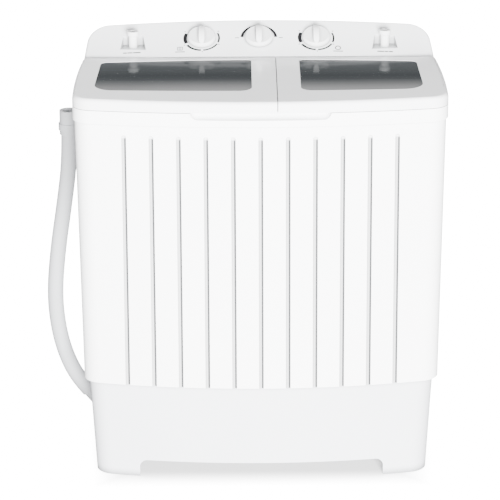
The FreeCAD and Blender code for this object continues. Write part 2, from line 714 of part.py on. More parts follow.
def knob(x):
    """A round dial with a raised grip bar across it."""
    skirt = post(0, 0, KNOB_GAP, KNOB_SKIRT_H, KNOB_R)
    face = Part.makeCone(KNOB_R, KNOB_R - KNOB_SLOPE, KNOB_FACE_H - KNOB_SKIRT_H, V(0, 0, KNOB_SKIRT_H))
    reach = KNOB_R - KNOB_SLOPE
    grip = rounded_box(-GRIP_HALF, GRIP_HALF, -reach, reach, KNOB_SKIRT_H, GRIP_TOP, GRIP_HALF - 0.6)
    crown = Part.makeCylinder(GRIP_CROWN_R, 4 * GRIP_HALF, V(-2 * GRIP_HALF, 0, GRIP_TOP - GRIP_CROWN_R), ACROSS)
    body = fuse([skirt, face, grip.common(crown)])
    return on_console(body.cut(post(0, 0, 0, KNOB_SOCKET, SPINDLE_R)), x, KNOB_ALONG)


def spindle(depth, x):
    return on_console(post(0, 0, -depth + 4.5, KNOB_SOCKET, SPINDLE_R), x, KNOB_ALONG)


# ------------------------------------------------------------------------------------------------ lids
def window_edge_y(x, at_front, grow):
    """Where a window's bowed front or back edge lies at one X."""
    share = (x / WINDOW_BOW_AT_X) ** 2
    if at_front:
        return WINDOW_FRONT_Y + WINDOW_FRONT_BOW * share - grow
    return WINDOW_BACK_Y + WINDOW_BACK_BOW * share + grow


def window_block(kind, z0, z1, grow=0.0):
    """The outline of a lid window: its outer side follows the lid's side, its corners differ."""
    corners = WINDOW_CORNERS[kind]
    middle_x = (min(x for x, _, _ in corners) + max(x for x, _, _ in corners)) / 2
    points = []
    for x, at_front, _ in corners:
        x += grow if x > middle_x else -grow
        points.append(V(x, window_edge_y(x, at_front, grow), z0))
    front_middle = V(middle_x, window_edge_y(middle_x, True, grow), z0)
    back_middle = V(middle_x, window_edge_y(middle_x, False, grow), z0)
    outline = Part.Wire([
        Part.Arc(points[0], front_middle, points[1]).toShape(),
        Part.LineSegment(points[1], points[2]).toShape(),
        Part.Arc(points[2], back_middle, points[3]).toShape(),
        Part.LineSegment(points[3], points[0]).toShape(),
    ])
    block = Part.Face(outline).extrude(V(0, 0, z1 - z0))
    for point, (_, _, radius) in zip(points, corners):
        level = point + V(0, 0, (z1 - z0) / 2)
        edge = min(upright_edges(block), key=lambda candidate: (candidate.CenterOfMass - level).Length)
        block = block.makeFillet(radius + grow, [edge])
    return block


def lid_side(kind, reach=0.0):
    """The half space of one lid, on its own side of the seam."""
    gap = LID_SEAM_GAP / 2
    if kind == "wash":
        return box(-400, LID_SEAM_X - gap - reach, -300, 300, 600, ABOVE_ALL_Z)
    return box(LID_SEAM_X + gap + reach, 400, -300, 300, 600, ABOVE_ALL_Z)


def lid_tray(kind):
    """A rounded tray turned upside down, open under its back edge so that it clears the tub's rim."""
    tray = plan_block(TOP, LID_BOTTOM_Z, TOP, LID_TOP_Z).common(lid_side(kind))
    tray = tray.common(box(-400, 400, -300, HINGE_Y, LID_BOTTOM_Z, LID_TOP_Z))
    rims = []
    for edge in tray.Edges:
        on_top = edge.BoundBox.ZMin > LID_TOP_Z - 0.01
        at_back = edge.BoundBox.YMin > HINGE_Y - 0.01
        at_seam = edge.BoundBox.XLength < 0.01
        if on_top and not at_back and not at_seam:
            rims.append(edge)
    tray = tray.makeFillet(LID_EDGE_R, rims)
    hollow = plan_block(TOP, LID_BOTTOM_Z - 1, TOP, LID_TOP_Z - LID_WALL, WALL).common(lid_side(kind, LID_WALL))
    upper = hollow.common(box(-400, 400, -300, HINGE_Y - 8, LID_BOTTOM_Z - 1, LID_TOP_Z))
    lower = hollow.common(box(-400, 400, -300, HINGE_Y + 1, LID_BOTTOM_Z - 1, HINGE_Z - HINGE_ROLL_R))
    return tray.cut([upper, lower])


def lid(kind):
    """A tray with a solid hinge roll along its back edge and a stepped window opening."""
    gap = LID_SEAM_GAP / 2
    if kind == "wash":
        roll = hinge_rod(-HINGE_ROLL_END_X, LID_SEAM_X - gap, HINGE_ROLL_R)
    else:
        roll = hinge_rod(LID_SEAM_X + gap, HINGE_ROLL_END_X, HINGE_ROLL_R)
    frame = window_block(kind, LID_TOP_Z - 6.0, LID_TOP_Z - LID_WALL, 6.0)
    body = fuse([lid_tray(kind), roll, frame])
    seat = LID_TOP_Z - WINDOW_SEAT
    tools = [window_block(kind, LID_TOP_Z - 8, seat, -WINDOW_LEDGE), window_block(kind, seat, LID_TOP_Z + 1)]
    half = LUG_HALF + 1.0
    clear = HINGE_ROLL_R + 1.0
    for x in LUG_X[kind]:
        tools.append(box(x - half, x + half, HINGE_Y - LUG_R - 1.5, HINGE_Y + clear, LID_BOTTOM_Z - 1, HINGE_Z))
        tools.append(box(x - half, x + half, HINGE_Y, HINGE_Y + clear, HINGE_Z - 1, LID_TOP_Z + 1))
        tools.append(hinge_rod(x - half, x + half, LUG_R + 0.8))
    return body.cut(tools + hinge_pins(kind).Solids)


def hinge_pins(kind):
    half = HINGE_PIN_HALF
    return Part.makeCompound([hinge_rod(x - half, x + half, HINGE_PIN_R) for x in LUG_X[kind]])


def lid_window(kind):
    """A smoked pane resting on the ledge of the lid's opening."""
    seat = LID_TOP_Z - WINDOW_SEAT
    return window_block(kind, seat, seat + WINDOW_THICK, -0.15)


# ------------------------------------------------------------------------------------------------ tubs
def wash_tub():
    """The square tub, hung from the deck, with a round well for the pulsator."""
    top = DECK_TOP_Z - DECK_PLATE
    low = TUB_FLOOR_Z - TUB_WALL
    outer = rounded_box(
        WASH_LEFT_X - TUB_WALL, WASH_RIGHT_X + TUB_WALL, WASH_FRONT_Y - TUB_WALL, WASH_BACK_Y + TUB_WALL,
        low, top, WASH_CORNER_R + TUB_WALL,
    )
    inner = rounded_box(
        WASH_LEFT_X, WASH_RIGHT_X, WASH_FRONT_Y, WASH_BACK_Y, TUB_FLOOR_Z, top + 1, WASH_CORNER_R,
    )
    floor_edges = [edge for edge in inner.Edges if edge.BoundBox.ZMax < TUB_FLOOR_Z + 0.01]
    inner = inner.makeFillet(WASH_FLOOR_R, floor_edges)
    floor_edges = [edge for edge in outer.Edges if edge.BoundBox.ZMax < low + 0.01]
    outer = outer.makeFillet(WASH_FLOOR_R + TUB_WALL, floor_edges)
    shaft_hole = post(PULSATOR_X, PULSATOR_Y, low - 5, TUB_FLOOR_Z + 5, HOUSING_R - 4)
    valve_hole = post(VALVE_X, VALVE_Y, low - 5, TUB_FLOOR_Z + 20, DRAIN_BORE_R)
    shell = outer.cut([inner, shaft_hole, valve_hole, duct_hole("wash")])
    rails = [box(WASH_RIGHT_X - 3, WASH_RIGHT_X + 1, y - 1.5, y + 1.5, *RAIL_Z) for y in (-RAIL_Y, RAIL_Y)]
    return fuse([shell] + rails)


def spin_chamber():
    """The round chamber around the spin basket."""
    top = DECK_TOP_Z - DECK_PLATE
    low = TUB_FLOOR_Z - TUB_WALL
    outer = post(SPIN_X, SPIN_Y, low, top, CHAMBER_R + TUB_WALL)
    inner = post(SPIN_X, SPIN_Y, TUB_FLOOR_Z, top + 1, CHAMBER_R)
    seal_hole = post(SPIN_X, SPIN_Y, low - 5, TUB_FLOOR_Z + 5, SEAL_WEB_R)
    drain_hole = post(SPIN_DRAIN_X, SPIN_DRAIN_Y, low - 5, TUB_FLOOR_Z + 5, SPIN_DRAIN_R)
    return outer.cut([inner, seal_hole, drain_hole, duct_hole("spin")])


def lint_filter():
    """A mesh box that hooks on two rails of the tub's wall and lifts off upwards."""
    low, high = FILTER_Z
    right = WASH_RIGHT_X - 0.4
    frame = box(right - FILTER_DEPTH, right, -FILTER_HALF_Y, FILTER_HALF_Y, low, high)
    half_y = FILTER_HALF_Y - 2.5
    inside = box(right - FILTER_DEPTH + 2, right + 1, -half_y, half_y, low + 3, high - 6)
    slots = []
    for y in range(-24, 25, 8):
        wall_x = right - FILTER_DEPTH
        slots.append(box(wall_x - 2, wall_x + 4, y - 2.2, y + 2.2, low + 8, high - 14))
    return frame.cut([inside] + slots)


# ------------------------------------------------------------------------------------------------ wash drive
def wash_post(z0, z1, radius):
    """An upright cylinder on the pulsator's axis."""
    return post(PULSATOR_X, PULSATOR_Y, z0, z1, radius)


def wash_ring(z0, z1, outer, inner):
    return ring(PULSATOR_X, PULSATOR_Y, z0, z1, outer, inner)


def pulsator():
    """A shallow disc with curved vanes that drives the water."""
    low = PULSATOR_LOW_Z
    disc = wash_post(low, low + 8, PULSATOR_R)
    rim = [edge for edge in disc.Edges if edge.BoundBox.ZMin > low + 7 and len(edge.Vertexes) == 1]
    disc = disc.makeFillet(5.0, rim)
    dome = Part.makeCone(34.0, 20.0, 16.0, V(PULSATOR_X, PULSATOR_Y, low + 7))
    vane = box(PULSATOR_X + 16, PULSATOR_X + 88, PULSATOR_Y - 6, PULSATOR_Y + 6, low + 5, low + 22)
    vane = vane.common(Part.makeCone(100.0, 0.5, 30.0, V(PULSATOR_X, PULSATOR_Y, low)))
    body = fuse([disc, dome] + around(vane, PULSATOR_X, PULSATOR_Y, VANE_COUNT))
    tools = []
    for radius, turn in ((60.0, 180.0 / VANE_COUNT), (76.0, 10.0)):
        hole = post(PULSATOR_X + radius, PULSATOR_Y, low - 1, low + 9, 2.2)
        hole.rotate(V(PULSATOR_X, PULSATOR_Y, 0), UP, turn)
        tools += around(hole, PULSATOR_X, PULSATOR_Y, VANE_COUNT)
    tools.append(wash_post(low - 1, low + 17, PULSATOR_SHAFT_R))
    tools.append(wash_post(low + 16, low + 40, 4.0))
    tools.append(wash_post(SCREW_SEAT_Z, low + 40, 8.3))
    return body.cut(tools)


def pulsator_screw():
    shank = wash_post(SCREW_LOW_Z, SCREW_SEAT_Z, 3.0)
    head = wash_post(SCREW_SEAT_Z, SCREW_SEAT_Z + 4, 8.0)
    x, y, top = PULSATOR_X, PULSATOR_Y, SCREW_SEAT_Z + 4
    return fuse([shank, head]).cut(box(x - 7, x + 7, y - 0.8, y + 0.8, top - 1.5, top + 1))


def pulsator_shaft():
    shaft = wash_post(PULLEY_Z - 4, PULSATOR_LOW_Z + 16.5, PULSATOR_SHAFT_R)
    return shaft.cut(wash_post(SCREW_LOW_Z, TUB_FLOOR_Z + 25, 3.0))


def shaft_housing():
    """The flanged tube under the tub that holds the pulsator shaft's bearings and seal."""
    top = TUB_FLOOR_Z - TUB_WALL
    tube = wash_post(HOUSING_LOW_Z, top, HOUSING_R)
    flange = wash_post(top - 5, top, HOUSING_FLANGE_R)
    tools = [wash_post(HOUSING_LOW_Z - 5, top + 1, PULSATOR_SHAFT_R + 2.0)]
    tools += [wash_post(low, low + BEARING_H, BEARING_R) for low in BEARING_LOWS]
    tools.append(wash_post(SEAL_LOW_Z, top + 1, BEARING_R))
    return fuse([tube, flange]).cut(tools)


def shaft_bearings():
    inner = PULSATOR_SHAFT_R + RUNNING_GAP
    return Part.makeCompound([wash_ring(low, low + BEARING_H, BEARING_R, inner) for low in BEARING_LOWS])


def pulsator_seal():
    return wash_ring(SEAL_LOW_Z, TUB_FLOOR_Z - TUB_WALL, BEARING_R, PULSATOR_SHAFT_R + RUNNING_GAP)


def pulley(x, y, radius, belt_inner, bore):
    """A belt pulley: rim with a groove, web and hub."""
    disc = post(x, y, PULLEY_Z, PULLEY_Z + PULLEY_H, radius)
    groove_low = PULLEY_Z + (PULLEY_H - BELT_HEIGHT) / 2 - FREE_GAP
    groove_high = groove_low + BELT_HEIGHT + 2 * FREE_GAP
    groove = ring(x, y, groove_low, groove_high, radius + 5, belt_inner - FREE_GAP)
    return disc.cut([groove, post(x, y, PULLEY_Z - 1, PULLEY_Z + PULLEY_H + 1, bore)])


def pulsator_pulley():
    """The large pulley, dished above and with six holes in its web."""
    disc = pulley(PULSATOR_X, PULSATOR_Y, LARGE_PULLEY_R, LARGE_BELT_R, PULSATOR_SHAFT_R)
    recess = wash_ring(PULLEY_Z + 8, PULLEY_Z + PULLEY_H + 1, LARGE_BELT_R - FREE_GAP - 5, 15.0)
    hole = post(PULSATOR_X + 37.0, PULSATOR_Y, PULLEY_Z - 1, PULLEY_Z + 20, 11.0)
    return disc.cut([recess] + around(hole, PULSATOR_X, PULSATOR_Y, 6))


def motor_pulley():
    return pulley(WASH_MOTOR_X, WASH_MOTOR_Y, SMALL_PULLEY_R, SMALL_BELT_R, MOTOR_SHAFT_R)


def belt_outline(grow):
    """Two arcs and their outer tangents around both pulleys."""
    large = V(PULSATOR_X, PULSATOR_Y, 0)
    small = V(WASH_MOTOR_X, WASH_MOTOR_Y, 0)
    span = small - large
    heading = math.atan2(span.y, span.x)
    wrap = math.acos((LARGE_BELT_R - SMALL_BELT_R) / span.Length)

    def at(centre, radius, angle):
        return centre + V(radius * math.cos(angle), radius * math.sin(angle), 0)

    r_large, r_small = LARGE_BELT_R + grow, SMALL_BELT_R + grow
    large_up, large_down = at(large, r_large, heading + wrap), at(large, r_large, heading - wrap)
    small_up, small_down = at(small, r_small, heading + wrap), at(small, r_small, heading - wrap)
    edges = [
        Part.Arc(large_up, at(large, r_large, heading + math.pi), large_down).toShape(),
        Part.LineSegment(large_down, small_down).toShape(),
        Part.Arc(small_down, at(small, r_small, heading), small_up).toShape(),
        Part.LineSegment(small_up, large_up).toShape(),
    ]
    return Part.Face(Part.Wire(edges))


def drive_belt():
    low = PULLEY_Z + (PULLEY_H - BELT_HEIGHT) / 2
    band = belt_outline(BELT_THICK).cut(belt_outline(0.0))
    band.translate(V(0, 0, low))
    return band.extrude(V(0, 0, BELT_HEIGHT)).Solids[0]


def wash_motor():
    """The closed induction motor hung under the tub."""
    x, y, (low, top) = WASH_MOTOR_X, WASH_MOTOR_Y, WASH_MOTOR_Z
    middle = (low + top) / 2
    stack = post(x, y, middle - 16, middle + 16, WASH_MOTOR_R)
    caps = post(x, y, low, top, WASH_MOTOR_R - 6)
    return fuse([stack, caps]).cut(post(x, y, low - 1, top - 8, MOTOR_SHAFT_R + RUNNING_GAP))


def wash_motor_shaft():
    return post(WASH_MOTOR_X, WASH_MOTOR_Y, PULLEY_Z - 3, WASH_MOTOR_Z[1] - 9, MOTOR_SHAFT_R)


def motor_bracket():
    """The steel plate between the wash motor and the tub, on four spacers."""
    top = WASH_MOTOR_Z[1]
    x0, x1 = WASH_MOTOR_X - 48, WASH_MOTOR_X + 28
    y0, y1 = WASH_MOTOR_Y - 44, WASH_MOTOR_Y + 52
    plate = box(x0, x1, y0, y1, top, top + 3)
    corners = [(x, y) for x in (x0 + 9, x1 - 9) for y in (y0 + 9, y1 - 9)]
    return fuse([plate] + [post(x, y, top, TUB_FLOOR_Z - TUB_WALL, 6.0) for x, y in corners])


def run_capacitor():
    low = BASE_FLOOR_Z + BASE_FLOOR_THICK
    can = post(40, 100, low, low + 56, 18.0)
    return can.makeFillet(3.0, [edge for edge in can.Edges if edge.BoundBox.ZMin > low + 50])


# ------------------------------------------------------------------------------------------------ spin drive
def spin_post(z0, z1, radius):
    """An upright cylinder on the spin basket's axis."""
    return post(SPIN_X, SPIN_Y, z0, z1, radius)


def spin_ring(z0, z1, outer, inner):
    return ring(SPIN_X, SPIN_Y, z0, z1, outer, inner)


def spin_basket():
    """The perforated basket, its floor and its hub."""
    bottom, top = BASKET_BOTTOM_Z, BASKET_TOP_Z
    wall = spin_ring(bottom, top, BASKET_R, BASKET_R - BASKET_WALL)
    floor = spin_post(bottom, bottom + 4, BASKET_R - 0.5)
    lip = spin_ring(top - 4, top, BASKET_R, BASKET_R - 8)
    hub = Part.makeCone(24.0, 16.0, 26, V(SPIN_X, SPIN_Y, bottom))
    body = fuse([wall, floor, lip, hub])
    bars = []
    for row in range(BASKET_HOLE_ROWS):
        turn = 0.5 if row % 2 else 0.0
        z = bottom + 34 + row * BASKET_HOLE_PITCH
        for column in range(BASKET_HOLE_COLUMNS):
            angle = math.pi * (column + turn) / BASKET_HOLE_COLUMNS
            reach = V(math.cos(angle), math.sin(angle), 0) * (BASKET_R + 5)
            centre = V(SPIN_X, SPIN_Y, z)
            bars.append(rod(centre - reach, centre + reach, BASKET_HOLE_R))
    return body.cut(bars + [spin_post(bottom - 1, bottom + 20, SPIN_SHAFT_R)])


def basket_safety_disc():
    """The loose disc that keeps laundry down in the basket."""
    z = BASKET_TOP_Z - 30
    inside = BASKET_R - BASKET_WALL
    disc = spin_post(z, z + 2.5, inside - 2)
    grip = spin_ring(z, z + 7, 20, 17)
    holes = []
    for radius, count in ((45.0, 8), (72.0, 12)):
        hole = post(SPIN_X + radius, SPIN_Y, z - 1, z + 4, 6.0)
        holes += around(hole, SPIN_X, SPIN_Y, count)
    spoke = box(SPIN_X + 80, SPIN_X + 120, SPIN_Y - 5, SPIN_Y + 5, z, z + 2.5)
    tabs = spin_post(z, z + 2.5, inside).common(Part.makeCompound(around(spoke, SPIN_X, SPIN_Y, 3)))
    return fuse([disc.cut(holes), grip] + tabs.Solids)


def spin_shaft():
    return spin_post(SPIN_MOTOR_Z[0] + 12, BASKET_BOTTOM_Z + 19, SPIN_SHAFT_R)


def brake_drum():
    low, high = DRUM_Z
    recess = spin_ring(low + 6, high + 1, DRUM_R - 6, 18)
    return spin_post(low, high, DRUM_R).cut([recess, spin_post(low - 1, high + 1, SPIN_SHAFT_R)])


def spin_motor():
    low, top = SPIN_MOTOR_Z
    middle = (low + top) / 2
    stack = spin_post(middle - 20, middle + 20, SPIN_MOTOR_R)
    caps = spin_post(low, top, SPIN_MOTOR_R - 6)
    return fuse([stack, caps]).cut(spin_post(low + 10, top + 1, SPIN_SHAFT_R + RUNNING_GAP))


def suspension_springs():
    """Three coil springs between the spin motor and the base floor."""
    low = BASE_FLOOR_Z + BASE_FLOOR_THICK + SPRING_WIRE_R + RUNNING_GAP
    high = SPIN_MOTOR_Z[0] - SPRING_WIRE_R - RUNNING_GAP
    helix = Part.makeLongHelix((high - low) / 4, high - low, SPRING_R)
    circle = Part.Wire([Part.Circle(V(SPRING_R, 0, 0), V(0, 1, 0), SPRING_WIRE_R).toShape()])
    coil = Part.Wire(helix.Edges).makePipeShell([circle], True, True)
    coil.translate(V(SPIN_X + SPRING_CIRCLE_R, SPIN_Y, low))
    return Part.makeCompound(around(coil, SPIN_X, SPIN_Y, 3))


def brake_lever():
    """An arm with a friction shoe beside the drum; it closes on the drum as the spin lid opens."""
    low, high = DRUM_Z[0] + 3, DRUM_Z[1] - 3
    inner_x = BRAKE_X - BRAKE_ARM_HALF
    arm = box(inner_x, BRAKE_X + BRAKE_ARM_HALF, SPIN_Y - BRAKE_SHOE_HALF, BRAKE_PIVOT_Y, low, high)
    eye = post(BRAKE_X, BRAKE_PIVOT_Y, low, high, BRAKE_EYE_R)
    shoe = box(BRAKE_X - 12, inner_x, SPIN_Y - BRAKE_SHOE_HALF, SPIN_Y + BRAKE_SHOE_HALF, low, high)
    around_drum = spin_post(low - 1, high + 1, DRUM_R + BRAKE_GAP)
    pivot_hole = post(BRAKE_X, BRAKE_PIVOT_Y, low - 1, high + 1, BRAKE_PIVOT_R + RUNNING_GAP)
    return fuse([arm, eye, shoe]).cut([around_drum, pivot_hole])


def brake_bracket():
    """The arm on the spin motor that carries the brake lever's pivot."""
    top = SPIN_MOTOR_Z[1]
    plate = box(SPIN_X + 10, BRAKE_X + 9, SPIN_Y + 28, BRAKE_PIVOT_Y + 9, top, top + 4)
    pivot = post(BRAKE_X, BRAKE_PIVOT_Y, top, DRUM_Z[1] - 1, BRAKE_PIVOT_R)
    return fuse([plate, pivot])


def chamber_seal():
    """The rubber bellows that closes the chamber's floor around the spin shaft."""
    sleeve = spin_ring(TUB_FLOOR_Z - 11, TUB_FLOOR_Z + 12, SEAL_SLEEVE_R, SPIN_SHAFT_R + RUNNING_GAP)
    web = spin_ring(TUB_FLOOR_Z - TUB_WALL, TUB_FLOOR_Z, SEAL_WEB_R, SPIN_SHAFT_R + 2)
    return fuse([sleeve, web])


# ------------------------------------------------------------------------------------------------ drain
def drain_valve_body():
    """The cup under the tub where both drains meet, above the drain pipe."""
    top = TUB_FLOOR_Z - TUB_WALL
    start = V(VALVE_X, VALVE_Y, VALVE_SIDE_Z)
    cup = post(VALVE_X, VALVE_Y, VALVE_LOW_Z, top, VALVE_CUP_R)
    side = rod(start, start + ACROSS * VALVE_SIDE_REACH, SPIN_DRAIN_R)
    bore = post(VALVE_X, VALVE_Y, PLUNGER_LOW_Z - FREE_GAP, top + 1, DRAIN_BORE_R)
    outlet = post(VALVE_X, VALVE_Y, VALVE_LOW_Z - 1, top, PIPE_BORE_R)
    side_bore = rod(start, start + ACROSS * (VALVE_SIDE_REACH + 1), SPIN_DRAIN_BORE_R)
    return fuse([cup, side]).cut([bore, outlet, side_bore])


def drain_valve_plunger():
    """The stopper that lifts off its seat to drain the wash tub."""
    stopper = post(VALVE_X, VALVE_Y, PLUNGER_LOW_Z, PLUNGER_LOW_Z + 5, DRAIN_BORE_R - 0.4)
    stem = post(VALVE_X, VALVE_Y, PLUNGER_LOW_Z, PLUNGER_LOW_Z + 22, 2.5)
    return fuse([stopper, stem])


def drain_pipe():
    """From the valve down through the motor floor and out to the left wall."""
    start = V(VALVE_X, VALVE_Y, VALVE_LOW_Z)
    turn = V(VALVE_X, VALVE_Y, OUTLET_Z)
    return swept_pipe([start, turn, V(OUTLET_START_X, VALVE_Y, OUTLET_Z)], DRAIN_PIPE_R, PIPE_BORE_R)


def spin_drain_pipe():
    """From the chamber's floor across to the valve body."""
    x, y, z = SPIN_DRAIN_X, SPIN_DRAIN_Y, VALVE_SIDE_Z - 5
    route = [V(x, y, TUB_FLOOR_Z), V(x, y, z), V(x - 24, y + 36, z), V(-150, 76, z)]
    route += [V(VALVE_X + VALVE_SIDE_REACH + 26, VALVE_Y, VALVE_SIDE_Z)]
    route += [V(VALVE_X + VALVE_SIDE_REACH, VALVE_Y, VALVE_SIDE_Z)]
    return swept_pipe(route, SPIN_DRAIN_R, SPIN_DRAIN_BORE_R)


def outlet_tube(radius, lead_in=0.0):
    """The bent run from inside the base wall to the hose's lower end."""
    lead = (HOSE_ROUTE[1] - HOSE_ROUTE[0]).normalize()
    turn = HOSE_ROUTE[0] - lead * ((HOSE_ROUTE[0].z - OUTLET_Z) / lead.z)
    start = V(OUTLET_START_X + lead_in, HOSE_Y, OUTLET_Z)
    return fuse([rod(start, turn, radius), Part.makeSphere(radius, turn), rod(turn, HOSE_ROUTE[0], radius)])


def drain_outlet():
    """The elbow through the base wall that the drain hose is pushed on to."""
    flange = rod(V(-280, HOSE_Y, OUTLET_Z), V(-294.5, HOSE_Y, OUTLET_Z), OUTLET_FLANGE_R)
    flange = flange.cut(plan_block(BASE_LOW, 0.0, BASE_HIGH, BASE_TOP_Z))
    return fuse([outlet_tube(OUTLET_R), flange]).cut(outlet_tube(OUTLET_BORE_R, 1.0))


def drain_hose():
    """The free hose from the outlet up to its holder, as a plain tube along rounded runs."""
    spine, radii = rounded_route(HOSE_ROUTE)
    hose = swept_rod(HOSE_ROUTE, HOSE_R)
    section = math.pi * HOSE_R ** 2
    print("hose bend radii", [round(radius) for radius in radii])
    print("hose length", round(spine.Length, 1), "volume ratio", round(hose.Volume / (section * spine.Length), 4))
    return hose


def hose_end_cuff():
    """The stiff sleeve on the hose's upper end, with an open mouth."""
    low, high = CUFF_Z
    end = HOSE_ROUTE[-1].z
    sleeve = post(HOSE_X_TOP, HOSE_Y, low, high, CUFF_R)
    socket = post(HOSE_X_TOP, HOSE_Y, low - 1, end, HOSE_R)
    mouth = post(HOSE_X_TOP, HOSE_Y, end - 1, high + 1, CUFF_BORE_R)
    return sleeve.cut([socket, mouth])


def hose_hook():
    """A clip round the cuff whose tongue hangs in a slot of the cabinet."""
    y0, y1 = HOSE_Y - HOOK_TONGUE_HALF, HOSE_Y + HOOK_TONGUE_HALF
    clip = ring(HOSE_X_TOP, HOSE_Y, *HOOK_Z, CUFF_R + 2.0, CUFF_R)
    tongue = box(HOSE_X_TOP + CUFF_R + 0.8, HOOK_TONGUE_END_X, y0, y1, *HOOK_TONGUE_Z)
    barb = box(HOOK_BARB_X, HOOK_TONGUE_END_X, y0, y1, HOOK_Z[0], HOOK_TONGUE_Z[1])
    return fuse([clip, tongue, barb])


# ------------------------------------------------------------------------------------------------ all pieces
PIECES = {
    "base_plinth": base_plinth,
    "foot_pads": foot_pads,
    "cabinet_shell": cabinet_shell,
    "rear_cover": rear_cover,
    "rear_screws": rear_screws,
    "cord_gland": cord_gland,
    "top_deck": top_deck,
    "console_fascia": console_fascia,
    "console_back": console_back,
    "wash_inlet_spigot": lambda: inlet_spigot(-1),
    "spin_inlet_spigot": lambda: inlet_spigot(1),
    "inlet_ducts": inlet_ducts,
    "wash_timer": lambda: switch_unit(TIMER_HALF_X, TIMER_HALF_Y, TIMER_DEPTH, KNOB_X["wash"]),
    "selector_unit": lambda: switch_unit(SELECTOR_HALF, SELECTOR_HALF, SELECTOR_DEPTH, KNOB_X["selector"]),
    "spin_timer": lambda: switch_unit(TIMER_HALF_X, TIMER_HALF_Y, TIMER_DEPTH, KNOB_X["spin"]),
    "wash_timer_spindle": lambda: spindle(TIMER_DEPTH, KNOB_X["wash"]),
    "selector_spindle": lambda: spindle(SELECTOR_DEPTH, KNOB_X["selector"]),
    "spin_timer_spindle": lambda: spindle(TIMER_DEPTH, KNOB_X["spin"]),
    "wash_timer_knob": lambda: knob(KNOB_X["wash"]),
    "selector_knob": lambda: knob(KNOB_X["selector"]),
    "spin_timer_knob": lambda: knob(KNOB_X["spin"]),
    "wash_lid": lambda: lid("wash"),
    "wash_lid_window": lambda: lid_window("wash"),
    "wash_lid_hinge_pins": lambda: hinge_pins("wash"),
    "spin_lid": lambda: lid("spin"),
    "spin_lid_window": lambda: lid_window("spin"),
    "spin_lid_hinge_pins": lambda: hinge_pins("spin"),
    "wash_tub": wash_tub,
    "spin_chamber": spin_chamber,
    "lint_filter": lint_filter,
    "pulsator": pulsator,
    "pulsator_screw": pulsator_screw,
    "pulsator_shaft": pulsator_shaft,
    "shaft_housing": shaft_housing,
    "shaft_bearings": shaft_bearings,
    "pulsator_seal": pulsator_seal,
    "pulsator_pulley": pulsator_pulley,
    "motor_pulley": motor_pulley,
    "drive_belt": drive_belt,
    "wash_motor": wash_motor,
    "wash_motor_shaft": wash_motor_shaft,
    "motor_bracket": motor_bracket,
    "run_capacitor": run_capacitor,
    "spin_basket": spin_basket,
    "basket_safety_disc": basket_safety_disc,
    "spin_shaft": spin_shaft,
    "brake_drum": brake_drum,
    "spin_motor": spin_motor,
    "suspension_springs": suspension_springs,
    "brake_lever": brake_lever,
    "brake_bracket": brake_bracket,
    "chamber_seal": chamber_seal,
    "drain_valve_body": drain_valve_body,
    "drain_valve_plunger": drain_valve_plunger,
    "drain_pipe": drain_pipe,
    "spin_drain_pipe": spin_drain_pipe,
    "drain_outlet": drain_outlet,
    "drain_hose": drain_hose,
    "hose_end_cuff": hose_end_cuff,
    "hose_hook": hose_hook,
}


def main():
    for name, make in PIECES.items():
        shape = make()
        sound = shape.isValid() and len(shape.Solids) >= 1
        print(f"{name:22s} solids {len(shape.Solids)} valid {sound} volume {shape.Volume / 1000:.1f} cm3")
        shape.exportStep(f"parts/{name}.step")


main()
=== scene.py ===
"""Twin tub washer: looks, printed panel marks, free drain hose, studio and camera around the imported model."""
import json
import math

import bmesh
import bpy
from mathutils import Matrix, Vector


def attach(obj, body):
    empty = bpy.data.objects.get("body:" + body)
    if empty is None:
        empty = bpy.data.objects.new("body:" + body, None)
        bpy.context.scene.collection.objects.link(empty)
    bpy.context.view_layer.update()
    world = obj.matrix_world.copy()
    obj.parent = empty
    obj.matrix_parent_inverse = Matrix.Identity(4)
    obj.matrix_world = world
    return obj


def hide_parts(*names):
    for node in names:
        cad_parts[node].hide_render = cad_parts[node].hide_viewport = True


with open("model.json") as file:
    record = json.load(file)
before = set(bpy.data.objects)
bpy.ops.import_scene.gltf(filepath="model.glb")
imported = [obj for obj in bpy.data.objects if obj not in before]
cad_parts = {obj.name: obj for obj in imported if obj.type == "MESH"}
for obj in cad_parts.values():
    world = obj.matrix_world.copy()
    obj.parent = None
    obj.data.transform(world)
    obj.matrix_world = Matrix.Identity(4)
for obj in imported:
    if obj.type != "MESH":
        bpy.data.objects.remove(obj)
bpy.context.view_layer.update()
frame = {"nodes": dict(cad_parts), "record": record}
NODES = frame["nodes"]

# Lengths are in metres and angles in degrees, unless a name says otherwise.

# Camera
LOOK_AT = Vector((0.0, 0.0, 0.370))
CAMERA_ELEVATION = 19.5
CAMERA_AZIMUTH = -0.48
CAMERA_ROLL = -0.18
CAMERA_DISTANCE = 6.02
CAMERA_LENS_MM = 246.2
CAMERA_SENSOR_MM = 36.0
CAMERA_SHIFT_X = -0.0204
CAMERA_SHIFT_Y = -0.0015
CAMERA_CLIP_END = 100.0

# Drain hose
HOSE_RADIUS = 0.014
HOSE_ROUTE = [
    (-0.3070, 0.030, 0.0947),
    (-0.3270, 0.030, 0.1186),
    (-0.3470, 0.030, 0.1616),
    (-0.3600, 0.030, 0.2146),
    (-0.3650, 0.030, 0.2796),
    (-0.3575, 0.030, 0.3610),
    (-0.3435, 0.030, 0.4510),
    (-0.3330, 0.030, 0.5300),
    (-0.3330, 0.030, 0.5980),
]

# Console face that the marks are printed on: a slope from its front edge, crowned from side to side
CONSOLE_FRONT_Y = 0.095
CONSOLE_FRONT_Z = 0.698
CONSOLE_TILT = 26.5
CONSOLE_CROWN_R = 4.9
PRINT_LIFT = 0.00012
PRINT_THICK = 0.0001

